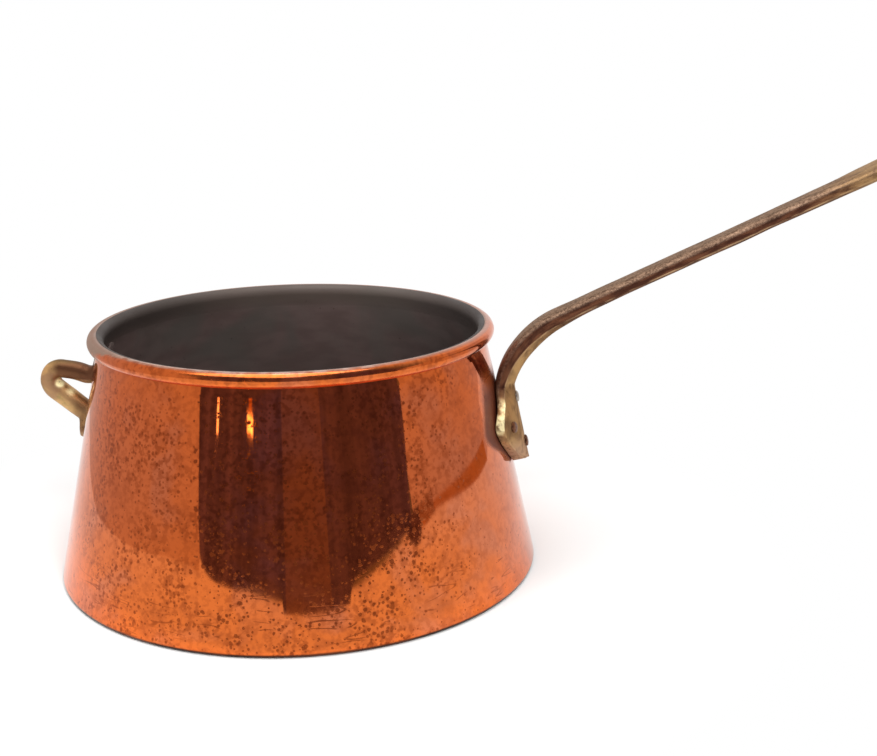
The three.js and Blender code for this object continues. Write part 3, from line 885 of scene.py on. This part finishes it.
def held_to_wall(rise):
    return eased(rise, plate_widest_rise, neck_leave_rise, 1, 0)


def handle_face(rise, sideways):
    """Height of the outer face over the back line, at a distance sideways."""
    half_width = handle_half_width(rise)
    fall = held_to_wall(rise) * wall_fall(handle_back(rise)[0].imag, half_width)
    low = from_plate_to_paddle(rise, plate_edge, bar_edge, paddle_edge) - fall
    flatness = from_plate_to_paddle(rise, plate_flatness, bar_flatness, bar_flatness)
    return low + (handle_crown(rise) - low) * (1 - abs(sideways / half_width) ** flatness)


def rounding(rise, amounts):
    """Width and depth of a rounded edge at a rise."""
    half_width = handle_half_width(rise)
    sizes = []
    for plate, bar, paddle in zip(*amounts):
        beyond = eased(rise, flare_start, paddle_round, bar, paddle)
        size = eased(rise, rounded_from, rounded_by, plate, beyond)
        sizes.append(min(size * MM, most_rounded * half_width))
    return sizes


def handle_section(rise, across=26, turns=6):
    """The closed outline of the handle at a rise, as (sideways, outwards, share of flank, share of face)."""
    half_width = handle_half_width(rise)
    height = handle_back(rise)[0].imag
    held = held_to_wall(rise)

    def back(sideways):
        crowned = (1 - held) * back_crown * (1 - (sideways / half_width) ** 2)
        return -held * wall_fall(height, sideways) - crowned

    back_wide, back_deep = rounding(rise, back_rounding)
    face_wide, face_deep = rounding(rise, face_rounding)
    back_flat, face_flat = half_width - back_wide, half_width - face_wide
    quarter = [share * math.pi / 2 for share in shares(turns)]
    back_low, face_high = back(back_flat), handle_face(rise, face_flat)
    half = [(back_flat * share, back(back_flat * share), 0, 0) for share in shares(across // 2)][:-1]
    for turn in quarter:
        outwards = back_low + back_deep * (1 - math.cos(turn))
        half.append((back_flat + back_wide * math.sin(turn), outwards, math.sin(turn), 0))
    for turn in quarter:
        outwards = face_high - face_deep * (1 - math.sin(turn))
        half.append((face_flat + face_wide * math.cos(turn), outwards, 1, math.sin(turn)))
    for share in reversed(shares(across // 2)[:-1]):
        half.append((face_flat * share, handle_face(rise, face_flat * share), 1, 1))
    return half + [(-place[0], *place[1:]) for place in reversed(half[1:-1])]


def along_handle():
    """The rises at which the handle's outline is drawn, from runs of (start, end, steps)."""
    runs = [
        (0, plate_length, 60),
        (plate_length, bar_start_rise, 56),
        (bar_start_rise, flare_start, 30),
        (flare_start, paddle_round, 40),
    ]
    rises = [start + (end - start) * share for start, end, count in runs for share in shares(count)[:-1]]
    turns = [share * blunt_end_angle for share in shares(18)]
    return rises + [paddle_round + paddle_half_width * math.sin(turn) for turn in turns]


def long_handle(finish):
    points, held = [], []
    rises = along_handle()
    for rise in rises:
        at, heading = handle_back(rise)
        for sideways, outwards, flank, face_side in handle_section(rise):
            place = at + right_of(heading) * outwards
            points.append((place.real, sideways, place.imag))
            held.append((flank, face_side, (rise, sideways, outwards)))
    size = len(points) // len(rises)
    faces = [list(range(size))[::-1], list(range(len(points) - size, len(points)))]
    for row in range(len(rises) - 1):
        for i in range(size):
            near, far = row * size + i, row * size + (i + 1) % size
            faces.append((near, far, far + size, near + size))
    piece = new_piece("long_handle_casting", points, faces)
    flanks, face_sides, places = zip(*held)
    hold(piece, flank=flanks, face_side=face_sides, lengthwise=places)
    piece.data.materials.append(finish)
    settle(piece)
    cutter = eye_cutter()
    bore = piece.modifiers.new("hanging eye", "BOOLEAN")
    bore.object, bore.operation, bore.solver = cutter, "DIFFERENCE", "EXACT"
    settle(piece)
    bpy.data.objects.remove(cutter)
    roughen(piece, size=13 * MM, depth=0.22 * MM)
    return piece


def eye_cutter():
    at, heading = handle_back(handle_length - eye_inset)
    out = right_of(heading)
    turn = Vector((out.real, 0, out.imag)).to_track_quat("Z", "Y").to_matrix().to_4x4()
    place = Matrix.Translation((at.real, 0, at.imag)) @ turn
    sizes = {"radius1": eye_radius, "radius2": eye_radius, "depth": 6 * paddle_crown}
    body = bmesh.new()
    bmesh.ops.create_cone(body, cap_ends=True, segments=64, matrix=place, **sizes)
    cutter = new_piece("eye", ())
    body.to_mesh(cutter.data)
    body.free()
    return cutter


def roughen(piece, size, depth):
    """Leaves the surface slightly uneven, as a casting is after filing."""
    normals = [vertex.normal.copy() for vertex in piece.data.vertices]
    for vertex, normal in zip(piece.data.vertices, normals):
        vertex.co += normal * noise.noise(vertex.co / size) * depth


# The loop handle, laid out on the long handle's side and turned half round

upper_foot_top = wall_top.imag - upper_foot_drop
lower_foot_bottom = upper_foot_top - loop_foot_span
upper_foot_half_depth = (upper_foot_thickness + seat_gap + foot_sunk) / 2
lower_foot_half_depth = (lower_foot_thickness + seat_gap + foot_sunk) / 2


def upper_foot_line(height):
    return off_wall(height, upper_foot_half_depth - foot_sunk)


def lower_foot_line(height):
    return off_wall(height, lower_foot_half_depth - foot_sunk)


def loop_path():
    """The middle line's runs: foot, bend, lower arm, outer bend, upper arm with its dip, bend and foot."""
    bend_radius = lower_arm_radius + loop_inner_radius
    bend_height = upper_foot_top - loop_bend_drop
    centre = complex(wall_at(bend_height).real + loop_stand_off - bend_radius, bend_height)
    back_heading = math.pi + upper_arm_slope
    dipped_heading = back_heading + dip_angle
    arm_end = centre + right_of(lower_arm_slope) * bend_radius
    back_start = centre + right_of(back_heading) * bend_radius
    dip_from = back_start + towards(back_heading) * dip_start
    dip_end = dip_from + (right_of(dipped_heading) - right_of(back_heading)) * dip_radius
    lower = crossing(arm_end, lower_arm_slope, lower_foot_line(0), wall_heading)
    upper = crossing(dip_end, dipped_heading, upper_foot_line(0), wall_heading)
    lower_cut = lower_foot_bend * math.tan((wall_heading - lower_arm_slope) / 2)
    upper_cut = upper_foot_bend * math.tan((dipped_heading - wall_heading) / 2)
    return [
        (abs(lower - lower_foot_line(lower_foot_bottom)) - lower_cut, 0),
        (lower_foot_bend * (wall_heading - lower_arm_slope), lower_foot_bend),
        (abs(arm_end - lower) - lower_cut, 0),
        (bend_radius * (back_heading - lower_arm_slope), -bend_radius),
        (dip_start, 0),
        (dip_radius * dip_angle, -dip_radius),
        (abs(upper - dip_end) - upper_cut, 0),
        (upper_foot_bend * (dipped_heading - wall_heading), upper_foot_bend),
        (abs(upper_foot_line(upper_foot_top) - upper) - upper_cut, 0),
    ]


def loop_handle(bar, finish, stations=220):
    runs = loop_path()
    lengths = [length for length, _ in runs]
    whole = sum(lengths)
    lower_foot = lengths[0] + lengths[1], lower_foot_half_width, lower_foot_half_depth
    upper_foot = lengths[-2] + lengths[-1], upper_foot_half_width, upper_foot_half_depth
    bend_start = sum(lengths[:3])
    middle = track(lower_foot_line(lower_foot_bottom), wall_heading, runs)
    points, half_widths, half_depths, squareness, outward = [], [], [], [], []
    for share in shares(stations):
        distance = share * whole
        from_end = min(distance, whole - distance)
        foot, foot_half_width, foot_half_depth = lower_foot if share < 0.5 else upper_foot
        bar_radius = eased(distance, bend_start, bend_start + lengths[3], lower_arm_radius, upper_arm_radius)
        to_round = max(1 - from_end / foot_half_width, 0)
        rounded = foot_half_width + (foot_end_half_width - foot_half_width) * (1 - math.sqrt(1 - to_round**2))
        ease = (from_end, foot * foot_flat_share, foot)
        at, heading = middle(distance)
        out = right_of(heading)
        points.append((-at.real, 0, at.imag))
        outward.append((-out.real, 0, out.imag))
        half_widths.append(eased(*ease, rounded, bar_radius))
        half_depths.append(eased(*ease, foot_half_depth, bar_radius))
        squareness.append(eased(*ease, foot_squareness, bar_squareness))
    piece = new_piece("loop_handle_bar", [points[0], *points, points[-1]])
    hold(piece, half_width=[0, *half_widths, 0], half_depth=[0, *half_depths, 0])
    hold(piece, squareness=[bar_squareness, *squareness, bar_squareness])
    hold(piece, outward=[outward[0], *outward, outward[-1]])
    grow(piece, bar, steps_round=48, finish=finish)
    roughen(piece, size=7 * MM, depth=0.18 * MM)
    seat_on_wall(piece, seat_gap)
    return piece


# The rivets: where each head sits, and the way that it faces


def wall_frame(height, angle):
    """The foot of a rivet's axis on the wall, and the wall's outward direction there."""
    foot = wall_at(height).real * towards(angle)
    flat = math.cos(wall_lean) * towards(angle)
    return Vector((foot.real, foot.imag, height)), Vector((flat.real, flat.imag, math.sin(wall_lean)))


def plate_rivet(rise, sideways):
    """Height, angle round the pot, stand-off of the outer head, and the head's tilt on the sloping face."""
    height = plate_tip_height + rise * math.cos(wall_lean)
    radius = wall_at(height).real / math.cos(wall_lean)
    angle = math.asin(sideways / wall_at(height).real)
    held = plate_crown
    for _ in range(settling_rounds):
        face = handle_face(rise, (radius + held) * math.sin(angle))
        held = (radius + seat_gap + face) / math.cos(angle) - radius
    at = (radius + held) * math.sin(angle)
    slope = (handle_face(rise, at - MM) - handle_face(rise, at + MM)) / (2 * MM)
    return height, angle, held, math.atan(slope) - angle


def rivet_seats():
    """Outer and inner seats as (place, axis, how pale)."""
    loop = [
        (upper_foot_top - upper_loop_rivet_inset, math.pi, seat_gap + upper_foot_thickness, 0),
        (lower_foot_bottom + lower_loop_rivet_inset, math.pi, seat_gap + lower_foot_thickness, 0),
    ]
    plate = [
        (plate_rivet(neck_rivet_rise, 0), 1.0),
        (plate_rivet(wing_rivet_rise, -wing_rivet_offset), 0.0),
        (plate_rivet(wing_rivet_rise, wing_rivet_offset), 0.2),
        (plate_rivet(tip_rivet_rise, 0), 0.0),
    ]
    outer, inner = [], []
    for (height, angle, held, slant), pale in [*plate, *[(rivet, 0.3) for rivet in loop]]:
        foot, axis = wall_frame(height, angle)
        tilt = Matrix.Rotation(slant, 3, "Z")
        outer.append((foot + axis * held, tilt @ axis, pale))
        inner.append((foot - axis * (sheet + tin_face), -axis, 0.0))
    return outer, inner


def head_outline(radius, height):
    """A domed head with a small upright edge, and a short stem under it."""
    stem = complex(radius / 2, -height)
    turns = [share * math.pi / 2 for share in shares(12)[:-1]]
    rise = height - head_edge
    dome = [complex(radius * math.cos(turn), head_edge + rise * math.sin(turn)) for turn in turns]
    under = [complex(0, -height), stem, complex(radius / 2, 0), complex(radius, 0)]
    return [*under, *dome, complex(0, height)]


def rivets(name, seats, radius, height, tree, finish, seed):
    outline = outline_piece("rivet outline", head_outline(radius, height))
    piece = new_piece(name, [place for place, _, _ in seats])
    hold(piece, axis=[tuple(axis) for _, axis, _ in seats], pale=[pale for _, _, pale in seats])
    dents = {"dent_depth": 0.35 * MM, "dent_size": 1.6 * MM, "seed": seed}
    grow(piece, tree, outline=outline, steps_round=40, finish=finish, **dents)
    bpy.data.objects.remove(outline)
    return piece


# The table, the screens that the copper mirrors, and the light

room_distance = 1.3
dark_top = 1.6  # the height of the dark screens
pale_top = 0.6
even_light = 0.62  # from all round
mirrored_in_front = 0.2  # what polished metal mirrors where no screen stands
mirrored_behind = 0.95
table_reach = 6.0
shadow_kept = 0.1  # from the pot's axis; farther out the table fades to plain white
shadow_gone = 0.2


def screen(name, colour, edge, top, strength=1.0):
    """A glowing sheet that stands beside the pot, which polished metal mirrors and nothing else shows.

    The edge is its bottom, as (degrees from the front towards the long handle, distance, height).
    """
    material = bpy.data.materials.new(name)
    tree = nodes_of(material)
    tree.nodes.clear()
    light = add_node(tree, "ShaderNodeEmission", {"Color": tone(colour), "Strength": strength})
    add_node(tree, "ShaderNodeOutputMaterial", {0: light.outputs[0]})
    places = []
    for degrees, distance, bottom in edge:
        turn = math.radians(degrees)
        places.append((distance * math.sin(turn), -distance * math.cos(turn), bottom))
    count = len(places)
    faces = [(i, i + 1, count + i + 1, count + i) for i in range(count - 1)]
    piece = new_piece(name, places + [(x, y, top) for x, y, _ in places], faces)
    piece.data.materials.append(material)
    for ray in ("camera", "diffuse", "shadow", "transmission", "volume_scatter"):
        setattr(piece, "visible_" + ray, False)
    return tree, light


def front_screen():
    """The dark screen that the front of the pot shows, a little uneven from side to side."""
    # As (degrees, height in millimetres)
    edge = [
        (-42, 260), (-40.5, 218), (-37.5, 68), (-35.7, 22), (-32.9, 10), (-27.9, 7), (-23, 10), (-12, 19),
        (-5, 21), (2.4, 15), (3, 3), (14, 0), (27, 0), (32, 2), (33.2, 18), (36.4, 32), (49, 33), (60, 33),
        (65.6, 26), (66.4, 68), (69, 150), (70, 220),
    ]
    low_edge = [(turn, room_distance, low * MM) for turn, low in edge]
    tree, light = screen("dark screen", "6a6080", low_edge, dark_top)
    place = add_node(tree, "ShaderNodeTexCoord").outputs["Object"]
    drawn = add_node(tree, "ShaderNodeMapping", {"Vector": place, "Scale": (1, 1, 0.03)}).outputs[0]
    uneven = add_node(tree, "ShaderNodeTexNoise", {"Vector": drawn, "Scale": 9.0, "Detail": 3.0}).outputs[0]
    spread = add_node(tree, "ShaderNodeMapRange", {0: uneven, 1: 0.35, 2: 0.7, 3: 0.75, 4: 1.3}).outputs[0]
    feed(tree, light.inputs["Strength"], spread)


def side_screens():
    """Pale screens at both sides, and small dark, brown and bright ones where the wall mirrors them."""
    far, near = room_distance - 0.01, room_distance - 0.02
    # As (degrees, distance): the farther off a screen stands, the higher its foot shows on the wall
    by_loop = [(-150, 0.42), (-118, 0.34), (-91, 0.284), (-69, 0.407), (-52, 0.8), (-41, 1.31), (-36, 1.4)]
    by_handle = [
        (68, 2.2), (81.3, 1.655), (87.7, 1.119), (97.6, 0.718), (108.9, 0.523), (119.1, 0.454),
        (124.3, 0.496), (127, 0.787), (150, 1.4),
    ]
    # As (degrees, height in millimetres)
    blot = [(62.5, 28), (64.5, 12), (66.5, 4), (69, 2), (70.5, 12), (71, 30)]
    screen("lighter screen", "80707c", [(4, far, 2 * MM), (24, far, 0)], dark_top)
    screen("pale screen by the loop", "dccdc4", [(*place, 0) for place in by_loop], pale_top)
    screen("pale screen by the handle", "dccdc4", [(*place, 0) for place in by_handle], pale_top)
    band = [(turn, distance - 2 * MM, 0) for turn, distance in by_handle[:-3]]
    screen("brown band", "c4925a", band, 15 * MM)
    screen("dark blot", "6c5a64", [(turn, room_distance, low * MM) for turn, low in blot], 46 * MM)
    bar = [(70.5, room_distance, 24 * MM), (79.5, room_distance, 10 * MM)]
    screen("brown bar", "a88a74", bar, 42 * MM)
    strip = [(-30.1, near, 0.186), (-29, near, 0.186)]
    screen("bright strip", (1, 0.9, 0.76, 1), strip, 0.238, strength=3.5)
    patch = [(-13, near, 0.212), (-11.4, near, 0.212)]
    screen("orange patch", (1, 0.4, 0.1, 1), patch, 0.264, strength=0.7)
    for low in (0.214, 0.222, 0.23):
        streak = [(-13.8, near, low), (-10.8, near, low - 0.003)]
        screen("bright streak", (1, 0.72, 0.3, 1), streak, low + 0.004, strength=9.0)


def table_top():
    """A white table that goes past the view, and keeps the pot's soft shadow."""
    corners = [(x * table_reach, y * table_reach, 0) for x, y in ((-1, -1), (1, -1), (1, 1), (-1, 1))]
    piece = new_piece("table top", corners, [(0, 1, 2, 3)])
    material = bpy.data.materials.new("white table")
    tree = nodes_of(material)
    shader = tree.nodes["Principled BSDF"]
    looks = {"Base Color": (0.84, 0.83, 0.82, 1), "Roughness": 0.8, "Specular IOR Level": 0.1}
    for name, value in looks.items():
        feed(tree, shader.inputs[name], value)
    white = add_node(tree, "ShaderNodeEmission", {"Color": (1, 1, 1, 1), "Strength": 1.0}).outputs[0]
    path = add_node(tree, "ShaderNodeLightPath").outputs
    place = add_node(tree, "ShaderNodeTexCoord").outputs["Object"]
    away = vector_calc(tree, "LENGTH", {0: place})["Value"]
    seen = calc(tree, "MAXIMUM", path["Is Camera Ray"], path["Is Glossy Ray"])
    both = calc(tree, "MULTIPLY", seen, smooth_step(tree, away, shadow_kept, shadow_gone))
    mix = add_node(tree, "ShaderNodeMixShader", {0: both, 1: shader.outputs[0], 2: white}).outputs[0]
    feed(tree, tree.nodes["Material Output"].inputs[0], mix)
    piece.data.materials.append(material)


def surroundings():
    """White to look at; in polished metal bright behind the pot and dim in front."""
    world = bpy.data.worlds.new("studio")
    bpy.context.scene.world = world
    tree = nodes_of(world)
    tree.nodes.clear()
    path = add_node(tree, "ShaderNodeLightPath").outputs
    way = add_node(tree, "ShaderNodeTexCoord").outputs["Generated"]
    backwards = add_node(tree, "ShaderNodeSeparateXYZ", {0: way}).outputs[1]
    mirrored = smooth_step(tree, backwards, -0.3, 0.55, mirrored_in_front, mirrored_behind)
    change = calc(tree, "SUBTRACT", mirrored, even_light)
    level = calc(tree, "MULTIPLY_ADD", path["Is Glossy Ray"], change, even_light)
    seen = calc(tree, "MAXIMUM", path["Is Camera Ray"], path["Is Transmission Ray"])
    level = calc(tree, "MAXIMUM", level, seen)
    sky = add_node(tree, "ShaderNodeBackground", {"Color": (1, 1, 1, 1), "Strength": level})
    add_node(tree, "ShaderNodeOutputWorld", {0: sky.outputs[0]})


def lamp(name, degrees, elevation, distance, size, watts, mirrored=False):
    """A soft lamp aimed at the pot, by degrees round it from the front towards the long handle."""
    turn, rise = math.radians(degrees), math.radians(elevation)
    away = Vector((math.sin(turn) * math.cos(rise), -math.cos(turn) * math.cos(rise), math.sin(rise)))
    data = bpy.data.lights.new(name, "AREA")
    data.energy, data.size = watts, size
    piece = bpy.data.objects.new(name, data)
    piece.location = away * distance
    piece.rotation_euler = away.to_track_quat("Z", "Y").to_euler()
    piece.visible_glossy = mirrored
    bpy.context.scene.collection.objects.link(piece)


def camera():
    data = bpy.data.cameras.new("camera")
    data.lens, data.sensor_width, data.clip_start = view_lens, sensor_width, 10 * MM
    piece = bpy.data.objects.new("camera", data)
    flat = Vector((math.sin(view_turn), math.cos(view_turn), 0))
    forward = flat * math.cos(view_tilt) + Vector((0, 0, math.sin(view_tilt)))
    level = Vector((math.cos(view_turn), -math.sin(view_turn), 0))
    upright = level.cross(forward)
    right = math.cos(view_roll) * level + math.sin(view_roll) * upright
    above = -math.sin(view_roll) * level + math.cos(view_roll) * upright
    piece.matrix_world = Matrix((right, above, -forward)).transposed().to_4x4()
    piece.location = (view_distance * math.sin(view_from), -view_distance * math.cos(view_from), view_height)
    bpy.context.scene.collection.objects.link(piece)
    bpy.context.scene.camera = piece


def build():
    camera()
    lathe = turned_tree()
    tin = wiped_tin()
    put_in_place(turned_piece("copper_body", body_outline(), lathe, polished_copper()), "copper", "pot_body")
    put_in_place(turned_piece("tin_inside", lining_outline(), lathe, tin), "tin", "tin_lining")
    put_in_place(long_handle(handle_brass()), "cast_brass", "long_handle")
    put_in_place(loop_handle(bar_tree(), loop_brass()), "bar_brass", "loop_handle")
    rivet_nodes = [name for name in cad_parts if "_rivet_" in name]
    outer, inner = rivet_seats()
    tree = rivet_tree(lathe)
    heads = rivets("rivet_heads", outer, head_radius, head_height, tree, rivet_copper(), seed=3)
    put_in_place(heads, "rivet_copper", *rivet_nodes)
    tails = rivets("rivet_tails", inner, inner_head_radius, inner_head_height, tree, tin, seed=8)
    put_in_place(tails, "tin", *rivet_nodes)
    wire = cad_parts["rim_wire"]
    wire.data.materials.clear()
    wire.data.materials.append(iron_wire())
    table_top()
    front_screen()
    side_screens()
    surroundings()
    lamp("key", degrees=28, elevation=42, distance=1.2, size=0.35, watts=7)
    lamp("side", degrees=-35, elevation=14, distance=1.25, size=0.3, watts=5)
    lamp("overhead", degrees=-30, elevation=80, distance=1.4, size=1.2, watts=12, mirrored=True)
    bpy.context.scene.view_settings.view_transform = "Standard"


build()
